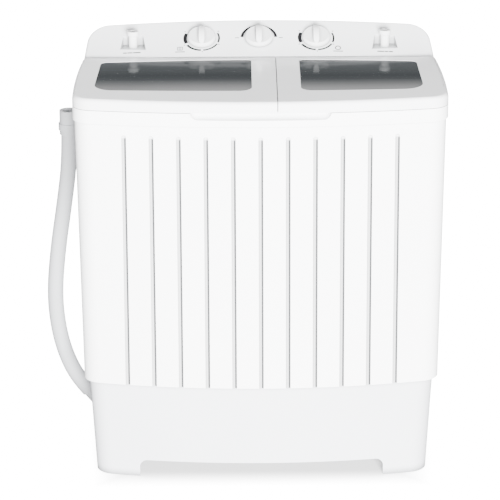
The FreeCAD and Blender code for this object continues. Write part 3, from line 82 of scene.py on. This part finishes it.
# Scales round the knobs; each arc is its start angle, end angle, width at the start and width at the end
KNOB_X = {"wash": -0.101, "selector": 0.0, "spin": 0.101}
KNOB_ALONG = 0.045
DIAL_R = 0.0325
ARC_STEP = 4
TICK_START = DIAL_R + 0.0005
TICK_END = DIAL_R + 0.0032
TICK_WIDTH = 0.0014
TIMER_ARCS = (
    (154, 204, 0.0062, 0.0068),
    (214, 268, 0.0044, 0.0038),
    (275, 331, 0.0035, 0.0031),
    (-21, 25, 0.0034, 0.0032),
)
TIMER_TICKS = (148, 209, 272, -28, 31)
SELECTOR_ARCS = (
    (177, 103, 0.0054, 0.0034),
    (3, 77, 0.0054, 0.0034),
)
SELECTOR_END_TICK_START = DIAL_R + 0.0026
SELECTOR_END_TICK_END = DIAL_R + 0.0095

# Icons beside the timers, and the broken lines below the water inlets
ICON_X = 0.139
ICON_ALONG = 0.0195
ICON_RULE_HALF = 0.0085
ICON_RULE_DROP = 0.0085
ICON_RULE_WIDTH = 0.0018
TUB_HALF_WIDTH = 0.0045
TUB_HALF_HEIGHT = 0.0040
TUB_BAR_X = 0.0015
TUB_RULE_WIDTH = 0.0011
TUB_WALL_HEIGHT = 0.0074
DRUM_R = 0.0054
DRUM_RULE_WIDTH = 0.0017
INLET_X = 0.222
INLET_RULE_ALONG = 0.0128
INLET_RULE_WIDTH = 0.0024
INLET_RULE_GAP = 0.0012
INLET_RULES = (
    (-INLET_X - 0.017, (0.0066, 0.0086, 0.0130)),
    (INLET_X - 0.014, (0.0120, 0.0060, 0.0070)),
)

# Grooves in the cabinet's front: where they are, and how painted shade lies across one of them
GROOVE_PITCH = 0.04635
GROOVE_OUTERMOST_X = 0.2318
GROOVE_HALF_WIDTH = 0.006
GROOVE_TOP_Z = 0.630
GROOVE_TOP_FADE = 0.003
GROOVE_FRONT_Y = -0.13
GROOVE_SHADE_COLOUR = (0.030, 0.031, 0.033)
RIGHT_WALL_SHADE_FROM = (0.0002, 0.0010)
LEFT_WALL_SHADE_FROM = (-0.0041, -0.0034)
GROOVE_SHADE_ENDS_AT = (0.0036, 0.0042)
RIGHT_WALL_SHADE = 0.97
LEFT_WALL_SHADE = 0.50

# Window colour from the front edge (0) to the back edge (1): a dark smoked tint in the middle, and paler
# painted reflection towards both edges
PANE_TINT_AND_REFLECTION = [
    (0.00, (0.190, 0.192, 0.192)),
    (0.10, (0.150, 0.152, 0.153)),
    (0.24, (0.080, 0.083, 0.084)),
    (0.38, (0.026, 0.029, 0.031)),
    (0.50, (0.018, 0.021, 0.023)),
    (0.72, (0.032, 0.036, 0.038)),
    (0.90, (0.044, 0.048, 0.051)),
    (0.94, (0.108, 0.111, 0.113)),
    (1.00, (0.108, 0.111, 0.113)),
]
PANE_GRADIENT_SWAY = 0.02
PANE_ALPHA = 0.95
PANE_SPECULAR = 0.06
PANE_IOR = 1.16

# Studio
WORLD_LIGHT = 1.05
FLOOR_SIZE = 30.0
FLOOR_GLOW = 15.0
FLOOR_SHADE_HALF_X = 0.275
FLOOR_SHADE_HALF_Y = 0.172
FLOOR_SHADE_SOFTNESS = 0.05
KEY_WATTS = 2250.0
BACK_FILL_WATTS = 450.0


def add_object(name, data):
    """Put a new object with this data in the scene."""
    thing = bpy.data.objects.new(name, data)
    bpy.context.scene.collection.objects.link(thing)
    return thing


# ------------------------------------------------------------------------------------- camera
def make_camera():
    elevation = math.radians(CAMERA_ELEVATION)
    azimuth = math.radians(CAMERA_AZIMUTH)
    roll = math.radians(CAMERA_ROLL)
    back = Vector((
        math.sin(azimuth) * math.cos(elevation),
        -math.cos(azimuth) * math.cos(elevation),
        math.sin(elevation),
    ))
    level = Vector((math.cos(azimuth), math.sin(azimuth), 0.0))
    upright = back.cross(level)
    right = level * math.cos(roll) + upright * math.sin(roll)
    up = upright * math.cos(roll) - level * math.sin(roll)
    data = bpy.data.cameras.new("camera")
    data.sensor_width = CAMERA_SENSOR_MM
    data.lens = CAMERA_LENS_MM
    data.shift_x = CAMERA_SHIFT_X
    data.shift_y = CAMERA_SHIFT_Y
    data.clip_end = CAMERA_CLIP_END
    camera = add_object("camera", data)
    turn = Matrix((right, up, back)).transposed()
    camera.matrix_world = Matrix.Translation(LOOK_AT + back * CAMERA_DISTANCE) @ turn.to_4x4()
    bpy.context.scene.camera = camera


# ------------------------------------------------------------------------------------- drain hose
def make_hose():
    """The free hose as one smooth line from the outlet to the cuff.

    A curve's box grows by its points' radius, so the bevel is 1 and each point's radius is the tube's.
    """
    curve = bpy.data.curves.new("drain_hose_line", "CURVE")
    curve.dimensions = "3D"
    spline = curve.splines.new("NURBS")
    spline.points.add(len(HOSE_ROUTE) - 1)
    for point, place in zip(spline.points, HOSE_ROUTE):
        point.co = (*place, 1.0)
        point.radius = HOSE_RADIUS
    spline.order_u = 3
    spline.use_endpoint_u = True
    spline.resolution_u = 16
    curve.bevel_depth = 1.0
    curve.bevel_resolution = 10
    curve.use_fill_caps = True
    hose = add_object("drain_hose_tube", curve)
    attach(hose, "cabinet")
    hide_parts("drain_hose")
    return hose


# ------------------------------------------------------------------------------------- printed marks
def on_console(x, along):
    """A point just above the sloping, crowned console face."""
    tilt = math.radians(CONSOLE_TILT)
    drop = x ** 2 / (2 * CONSOLE_CROWN_R) - PRINT_LIFT
    return Vector((
        x,
        CONSOLE_FRONT_Y + along * math.cos(tilt) + drop * math.sin(tilt),
        CONSOLE_FRONT_Z + along * math.sin(tilt) - drop * math.cos(tilt),
    ))


def print_strip(form, outer, inner):
    """A printed stripe between two rows of points given as (x, along the slope)."""
    far = [form.verts.new(on_console(*point)) for point in outer]
    near = [form.verts.new(on_console(*point)) for point in inner]
    for index in range(len(far) - 1):
        form.faces.new((near[index], near[index + 1], far[index + 1], far[index]))


def print_arc(form, centre_x, start, end, width_start, width_end, outer_r=DIAL_R, centre_along=KNOB_ALONG):
    """A ring segment from one angle to another (0 is right, 90 is up the slope)."""
    steps = max(int(abs(end - start) / ARC_STEP), 2)
    outer, inner = [], []
    for step in range(steps + 1):
        share = step / steps
        angle = math.radians(start + (end - start) * share)
        width = width_start + (width_end - width_start) * share
        for row, radius in ((outer, outer_r), (inner, outer_r - width)):
            row.append((centre_x + radius * math.cos(angle), centre_along + radius * math.sin(angle)))
    print_strip(form, outer, inner)


def print_line(form, x0, x1, along, width):
    """A line across the console, in three steps so that it follows the crown."""
    steps = 3
    xs = [x0 + (x1 - x0) * step / steps for step in range(steps + 1)]
    print_strip(form, [(x, along + width / 2) for x in xs], [(x, along - width / 2) for x in xs])


def print_tick(form, centre_x, angle, start=TICK_START, end=TICK_END):
    """A short mark that points away from a knob."""
    turn = math.radians(angle)
    rows = []
    for side in (1, -1):
        shift_x = -side * math.sin(turn) * TICK_WIDTH / 2
        shift_along = side * math.cos(turn) * TICK_WIDTH / 2
        rows.append([
            (centre_x + r * math.cos(turn) + shift_x, KNOB_ALONG + r * math.sin(turn) + shift_along)
            for r in (start, end)
        ])
    print_strip(form, *rows)


def print_piece(name, draw):
    """Make one printed piece from a function that draws on an empty mesh."""
    form = bmesh.new()
    draw(form)
    bmesh.ops.recalc_face_normals(form, faces=form.faces)
    mesh = bpy.data.meshes.new(name)
    form.to_mesh(mesh)
    form.free()
    piece = add_object(name, mesh)
    thickness = piece.modifiers.new("ink_thickness", "SOLIDIFY")
    thickness.thickness = PRINT_THICK
    thickness.offset = 0.0
    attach(piece, "cabinet")
    return piece


def timer_marks(x):
    """A timer's scale: one heavy segment, three lighter ones, and ticks between them."""
    def draw(form):
        for arc in TIMER_ARCS:
            print_arc(form, x, *arc)
        for angle in TIMER_TICKS:
            print_tick(form, x, angle)
    return draw


def selector_marks(form):
    """The drain selector's scale: two tapering segments over the top, and ticks at both ends."""
    x = KNOB_X["selector"]
    for arc in SELECTOR_ARCS:
        print_arc(form, x, *arc)
    for angle in (180, 0):
        print_tick(form, x, angle, SELECTOR_END_TICK_START, SELECTOR_END_TICK_END)
    print_tick(form, x, 90)


def icon_rule(form, x):
    """The short line under an icon."""
    print_line(form, x - ICON_RULE_HALF, x + ICON_RULE_HALF, ICON_ALONG - ICON_RULE_DROP, ICON_RULE_WIDTH)


def tub_icon(form):
    """A square tub with two upright bars, over a short line."""
    x = -ICON_X
    left, right = x - TUB_HALF_WIDTH, x + TUB_HALF_WIDTH
    for along in (ICON_ALONG - TUB_HALF_HEIGHT, ICON_ALONG + TUB_HALF_HEIGHT):
        print_line(form, left, right, along, TUB_RULE_WIDTH)
    for wall_x in (left, x - TUB_BAR_X, x + TUB_BAR_X, right):
        half = TUB_RULE_WIDTH / 2
        print_line(form, wall_x - half, wall_x + half, ICON_ALONG, TUB_WALL_HEIGHT)
    icon_rule(form, x)


def drum_icon(form):
    """A round drum over a short line."""
    print_arc(form, ICON_X, 0, 360, DRUM_RULE_WIDTH, DRUM_RULE_WIDTH, DRUM_R, ICON_ALONG)
    icon_rule(form, ICON_X)


def inlet_lines(form):
    """A broken line below each water inlet."""
    for x, lengths in INLET_RULES:
        for length in lengths:
            print_line(form, x, x + length, INLET_RULE_ALONG, INLET_RULE_WIDTH)
            x += length + INLET_RULE_GAP


def make_marks():
    """All the printed pieces, as the ones in heavy ink and the ones in light ink."""
    heavy = [print_piece("dial_marks_" + kind, timer_marks(KNOB_X[kind])) for kind in ("wash", "spin")]
    heavy.append(print_piece("dial_marks_selector", selector_marks))
    light = [print_piece("panel_tub_icon", tub_icon), print_piece("panel_drum_icon", drum_icon)]
    light.append(print_piece("inlet_mark_lines", inlet_lines))
    return heavy, light


# ------------------------------------------------------------------------------------- node helpers
def new_material(name):
    material = bpy.data.materials.new(name)
    material.use_nodes = True
    tree = material.node_tree
    tree.nodes.clear()
    output = tree.nodes.new("ShaderNodeOutputMaterial")
    shader = tree.nodes.new("ShaderNodeBsdfPrincipled")
    tree.links.new(shader.outputs["BSDF"], output.inputs["Surface"])
    return material, tree, shader


def give(tree, socket, value):
    """Link another node's output to a socket, or set a number or a colour on it."""
    if isinstance(value, bpy.types.NodeSocket):
        tree.links.new(value, socket)
    elif isinstance(value, tuple):
        socket.default_value = (*value, 1.0)
    else:
        socket.default_value = value


def axes(tree, space):
    """The X, Y and Z outputs of a texture space, such as Object."""
    place = tree.nodes.new("ShaderNodeTexCoord")
    split = tree.nodes.new("ShaderNodeSeparateXYZ")
    tree.links.new(place.outputs[space], split.inputs["Vector"])
    return [split.outputs[axis] for axis in "XYZ"]


def maths(tree, operation, *values):
    """One Math node; each value is a number or another node's output."""
    node = tree.nodes.new("ShaderNodeMath")
    node.operation = operation
    for socket, value in zip(node.inputs, values):
        give(tree, socket, value)
    return node.outputs["Value"]


def noise(tree, scale, detail):
    """A noise field fixed to the object."""
    place = tree.nodes.new("ShaderNodeTexCoord")
    field = tree.nodes.new("ShaderNodeTexNoise")
    field.inputs["Scale"].default_value = scale
    field.inputs["Detail"].default_value = detail
    field.inputs["Roughness"].default_value = 0.5
    tree.links.new(place.outputs["Object"], field.inputs["Vector"])
    return field.outputs["Fac"]


def remap(tree, value, low, high, start=0.3, end=0.7):
    """The value stretched from start..end to low..high; the default is where noise mostly lies."""
    spread = tree.nodes.new("ShaderNodeMapRange")
    spread.inputs["From Min"].default_value = start
    spread.inputs["From Max"].default_value = end
    spread.inputs["To Min"].default_value = low
    spread.inputs["To Max"].default_value = high
    tree.links.new(value, spread.inputs["Value"])
    return spread.outputs["Result"]


def mix_colours(tree, share, first, second, blend="MIX"):
    mix = tree.nodes.new("ShaderNodeMix")
    mix.data_type = "RGBA"
    mix.blend_type = blend
    share_socket, first_socket, second_socket = mix.inputs[0], mix.inputs[6], mix.inputs[7]
    give(tree, share_socket, share)
    give(tree, first_socket, first)
    give(tree, second_socket, second)
    return mix.outputs[2]


def mottled(tree, scale, detail, first, second):
    """Two colours mixed by a soft cloud."""
    return mix_colours(tree, remap(tree, noise(tree, scale, detail), 0.0, 1.0), first, second)


def set_gloss(tree, shader, scale, detail, low, high):
    """Roughness that wanders between two values."""
    tree.links.new(remap(tree, noise(tree, scale, detail), low, high), shader.inputs["Roughness"])


def set_grain(tree, shader, scale, detail, strength, distance):
    """A fine bump over the surface."""
    node = tree.nodes.new("ShaderNodeBump")
    node.inputs["Strength"].default_value = strength
    node.inputs["Distance"].default_value = distance
    tree.links.new(noise(tree, scale, detail), node.inputs["Height"])
    tree.links.new(node.outputs["Normal"], shader.inputs["Normal"])


def with_painted_recess_shade(tree, colour, reach, depth):
    """The colour again, darkened by painted shade in grooves, seams and recesses, the more the closer other
    surfaces are.
    """
    closeness = tree.nodes.new("ShaderNodeAmbientOcclusion")
    closeness.samples = 8
    closeness.inputs["Distance"].default_value = reach
    shade = remap(tree, closeness.outputs["AO"], 1.0 - depth, 1.0, 0.35, 0.85)
    return mix_colours(tree, 1.0, colour, shade, "MULTIPLY")


# ------------------------------------------------------------------------------------- materials
def plastic(
    name, colour, rough=0.35, spread=0.06, tint=0.02, grain=900.0, grain_depth=0.15, coat=0.0,
    recess_shade=0.0, reach=0.007,
):
    """A moulded plastic: faint mottling in colour and gloss, and a fine moulded grain."""
    material, tree, shader = new_material(name)
    darker = tuple(max(channel - tint, 0.0) for channel in colour)
    surface = mottled(tree, 6.0, 3.0, darker, colour)
    # Optional painted shade in grooves, seams and recesses.
    if recess_shade:
        surface = with_painted_recess_shade(tree, surface, reach, recess_shade)
    tree.links.new(surface, shader.inputs["Base Color"])
    set_gloss(tree, shader, 24.0, 4.0, rough - spread, rough + spread)
    set_grain(tree, shader, grain, 2.0, grain_depth, 0.0003)
    shader.inputs["Coat Weight"].default_value = coat
    shader.inputs["Coat Roughness"].default_value = 0.08
    shader.inputs["Specular IOR Level"].default_value = 0.45
    return material


def metal(name, colour, rough, grain=400.0):
    """A turned, plated or cast metal with a fine grain."""
    material, tree, shader = new_material(name)
    darker = tuple(channel * 0.85 for channel in colour)
    tree.links.new(mottled(tree, 30.0, 4.0, darker, colour), shader.inputs["Base Color"])
    set_gloss(tree, shader, grain, 3.0, rough - 0.08, rough + 0.08)
    set_grain(tree, shader, grain * 2, 2.0, 0.1, 0.0002)
    shader.inputs["Metallic"].default_value = 1.0
    return material


def rubber(name, colour):
    """A matt moulded rubber."""
    material, tree, shader = new_material(name)
    lighter = tuple(channel + 0.03 for channel in colour)
    tree.links.new(mottled(tree, 40.0, 4.0, colour, lighter), shader.inputs["Base Color"])
    set_gloss(tree, shader, 150.0, 3.0, 0.55, 0.75)
    set_grain(tree, shader, 1200.0, 2.0, 0.25, 0.0003)
    return material


def smoked_pane(name):
    """Smoked acrylic, tinted dark in the middle, with painted reflection making it paler towards the front and
    back edges.
    """
    material, tree, shader = new_material(name)
    from_front = axes(tree, "Generated")[1]
    sway = remap(tree, noise(tree, 4.0, 2.0), -PANE_GRADIENT_SWAY, PANE_GRADIENT_SWAY)
    ramp = tree.nodes.new("ShaderNodeValToRGB")
    while len(ramp.color_ramp.elements) < len(PANE_TINT_AND_REFLECTION):
        ramp.color_ramp.elements.new(1.0)
    for element, (position, colour) in zip(ramp.color_ramp.elements, PANE_TINT_AND_REFLECTION):
        element.position = position
        element.color = (*colour, 1.0)
    tree.links.new(maths(tree, "ADD", from_front, sway), ramp.inputs["Fac"])
    # The paler ends of this ramp are painted reflection.
    tree.links.new(ramp.outputs["Color"], shader.inputs["Base Color"])
    set_gloss(tree, shader, 60.0, 3.0, 0.04, 0.08)
    set_grain(tree, shader, 12.0, 1.0, 0.02, 0.0004)
    shader.inputs["Alpha"].default_value = PANE_ALPHA
    shader.inputs["Specular IOR Level"].default_value = PANE_SPECULAR
    shader.inputs["IOR"].default_value = PANE_IOR
    return material


def ink(name, dark, light):
    """Screen-printed ink, a little uneven."""
    material, tree, shader = new_material(name)
    tree.links.new(mottled(tree, 300.0, 2.0, dark, light), shader.inputs["Base Color"])
    set_gloss(tree, shader, 300.0, 2.0, 0.40, 0.55)
    set_grain(tree, shader, 2500.0, 1.0, 0.1, 0.0001)
    shader.inputs["Specular IOR Level"].default_value = 0.2
    return material


def add_painted_groove_shade(material):
    """Painted shade in the front grooves, darkest along the right wall of each."""
    tree = material.node_tree
    shader = next(node for node in tree.nodes if node.type == "BSDF_PRINCIPLED")
    x, y, z = axes(tree, "Object")
    across = maths(tree, "WRAP", x, -GROOVE_PITCH / 2, GROOVE_PITCH / 2)
    within = remap(tree, across, 1.0, 0.0, *GROOVE_SHADE_ENDS_AT)
    right = maths(tree, "MULTIPLY", remap(tree, across, 0.0, 1.0, *RIGHT_WALL_SHADE_FROM), within)
    left = maths(tree, "MULTIPLY", remap(tree, across, 0.0, 1.0, *LEFT_WALL_SHADE_FROM), within)
    amount = maths(
        tree, "MAXIMUM",
        maths(tree, "MULTIPLY", right, RIGHT_WALL_SHADE),
        maths(tree, "MULTIPLY", left, LEFT_WALL_SHADE),
    )
    inside_x = maths(tree, "LESS_THAN", maths(tree, "ABSOLUTE", x), GROOVE_OUTERMOST_X + GROOVE_HALF_WIDTH)
    inside_z = remap(tree, z, 1.0, 0.0, GROOVE_TOP_Z - GROOVE_TOP_FADE, GROOVE_TOP_Z)
    on_front = maths(tree, "LESS_THAN", y, GROOVE_FRONT_Y)
    for share in (inside_x, inside_z, on_front):
        amount = maths(tree, "MULTIPLY", amount, share)
    unshaded = shader.inputs["Base Color"].links[0].from_socket
    # Mix the painted groove shade into the colour.
    groove_shaded = mix_colours(tree, amount, unshaded, GROOVE_SHADE_COLOUR)
    tree.links.new(groove_shaded, shader.inputs["Base Color"])


def make_slot_materials():
    """One material for each material slot in the record."""
    return {
        # The base is the cabinet's white plastic; its darker grey is painted shade for its place under the
        # cabinet.
        "base_white": plastic(
            "moulded_base", (0.58, 0.59, 0.61), rough=0.42, grain_depth=0.25, recess_shade=0.9, reach=0.02),
        "cabinet_white": plastic("moulded_cabinet", (0.86, 0.865, 0.87), rough=0.30, recess_shade=0.8),
        "deck_white": plastic("moulded_deck", (0.86, 0.865, 0.87), rough=0.30, recess_shade=0.7),
        "console_white": plastic(
            "moulded_console", (0.80, 0.81, 0.82), rough=0.34, grain_depth=0.2, recess_shade=0.6, reach=0.022),
        "lid_white": plastic(
            "moulded_lid", (0.74, 0.745, 0.755), rough=0.20, spread=0.03, grain_depth=0.05, coat=0.2,
            recess_shade=0.5),
        "smoked_pane": smoked_pane("smoked_acrylic_and_reflection"),
        "knob_white": plastic(
            "moulded_knob", (0.66, 0.665, 0.67), rough=0.28, grain_depth=0.08, coat=0.1, recess_shade=0.5,
            reach=0.01),
        "hose_grey": plastic("hose_plastic", (0.33, 0.337, 0.347), rough=0.45, grain_depth=0.2),
        "inner_white": plastic("moulded_inner", (0.74, 0.76, 0.77)),
        "pulsator_blue": plastic("moulded_pulsator", (0.62, 0.70, 0.76), rough=0.30),
        "rubber_black": rubber("black_rubber", (0.02, 0.02, 0.02)),
        "rubber_grey": rubber("grey_rubber", (0.12, 0.125, 0.13)),
        "steel": metal("turned_steel", (0.60, 0.61, 0.62), rough=0.28),
        "zinc_steel": metal("zinc_plated", (0.62, 0.64, 0.66), rough=0.38),
        "motor_metal": metal("motor_casting", (0.33, 0.34, 0.36), rough=0.5),
        "switch_plastic": plastic("technical_plastic", (0.05, 0.052, 0.056), rough=0.5, tint=0.01),
        "back_grey": plastic("back_sheet", (0.72, 0.725, 0.73), rough=0.5, grain_depth=0.35),
        "filter_blue": plastic("filter_plastic", (0.22, 0.42, 0.62), rough=0.4),
    }


def paint_cad_nodes(slot_materials):
    """Give every carried-over node the material of its slot."""
    for row in frame["record"]["subparts"]:
        mesh = NODES[row["node"]].data
        mesh.materials.clear()
        mesh.materials.append(slot_materials[row["material_slot"]])


def paint_marks(heavy, light):
    """Black ink on the dials, grey ink on the icons and inlet lines."""
    black = ink("black_print", (0.004, 0.004, 0.005), (0.010, 0.010, 0.011))
    grey = ink("grey_print", (0.030, 0.031, 0.033), (0.050, 0.051, 0.053))
    for pieces, material in ((heavy, black), (light, grey)):
        for piece in pieces:
            piece.data.materials.append(material)


# ------------------------------------------------------------------------------------- studio
def share_outside(tree, value, half):
    """0 well inside +-half, 1 well outside it, with a soft step between."""
    step = tree.nodes.new("ShaderNodeMapRange")
    step.interpolation_type = "SMOOTHSTEP"
    step.inputs["From Min"].default_value = half - FLOOR_SHADE_SOFTNESS
    step.inputs["From Max"].default_value = half + FLOOR_SHADE_SOFTNESS
    tree.links.new(maths(tree, "ABSOLUTE", value), step.inputs["Value"])
    return step.outputs["Result"]


def floor_material():
    """A white floor that glows evenly like a light table, with a painted soft shadow under the machine, where
    the glow fades out.
    """
    material, tree, shader = new_material("studio_white")
    white = mottled(tree, 0.6, 2.0, (0.93, 0.93, 0.93), (0.95, 0.95, 0.95))
    tree.links.new(white, shader.inputs["Base Color"])
    shader.inputs["Roughness"].default_value = 0.9
    shader.inputs["Specular IOR Level"].default_value = 0.1
    x, y, _ = axes(tree, "Object")
    # The glow fades out over the machine's footprint: a painted shadow.
    outside_x = share_outside(tree, x, FLOOR_SHADE_HALF_X)
    outside_y = share_outside(tree, y, FLOOR_SHADE_HALF_Y)
    glow = maths(tree, "MULTIPLY", maths(tree, "MAXIMUM", outside_x, outside_y), FLOOR_GLOW)
    shader.inputs["Emission Color"].default_value = (1.0, 1.0, 1.0, 1.0)
    tree.links.new(glow, shader.inputs["Emission Strength"])
    return material


def make_floor():
    """A plain floor that the washer is seen on, but that neither lights it nor shows in it."""
    mesh = bpy.data.meshes.new("studio_floor")
    form = bmesh.new()
    bmesh.ops.create_grid(form, x_segments=1, y_segments=1, size=FLOOR_SIZE)
    form.to_mesh(mesh)
    form.free()
    floor = add_object("studio_floor", mesh)
    floor.visible_diffuse = False
    floor.visible_glossy = False
    mesh.materials.append(floor_material())


def make_world():
    """Even white light from all round."""
    world = bpy.data.worlds.new("studio_world")
    world.use_nodes = True
    background = world.node_tree.nodes["Background"]
    background.inputs["Color"].default_value = (1.0, 1.0, 1.0, 1.0)
    background.inputs["Strength"].default_value = WORLD_LIGHT
    bpy.context.scene.world = world


def area_light(name, place, aim, width, height, power):
    """A soft box that lights the set and stays out of the picture and its reflections."""
    data = bpy.data.lights.new(name, "AREA")
    data.shape = "RECTANGLE"
    data.size = width
    data.size_y = height
    data.energy = power
    light = add_object(name, data)
    light.location = place
    light.rotation_mode = "QUATERNION"
    light.rotation_quaternion = (Vector(aim) - Vector(place)).to_track_quat("-Z", "Y")
    light.visible_camera = False
    light.visible_glossy = False


# ------------------------------------------------------------------------------------- the scene
make_camera()
hose = make_hose()
heavy_marks, light_marks = make_marks()

materials = make_slot_materials()
# Painted shade in the front grooves.
add_painted_groove_shade(materials["cabinet_white"])
paint_cad_nodes(materials)
paint_marks(heavy_marks, light_marks)
hose.data.materials.append(materials["hose_grey"])

make_floor()
make_world()
area_light("key", (0.45, -4.5, 1.05), (0.0, -0.1, 0.38), 1.5, 1.5, KEY_WATTS)
area_light("back_fill", (-0.8, 3.6, 1.6), (0.0, 0.0, 0.4), 2.0, 1.2, BACK_FILL_WATTS)
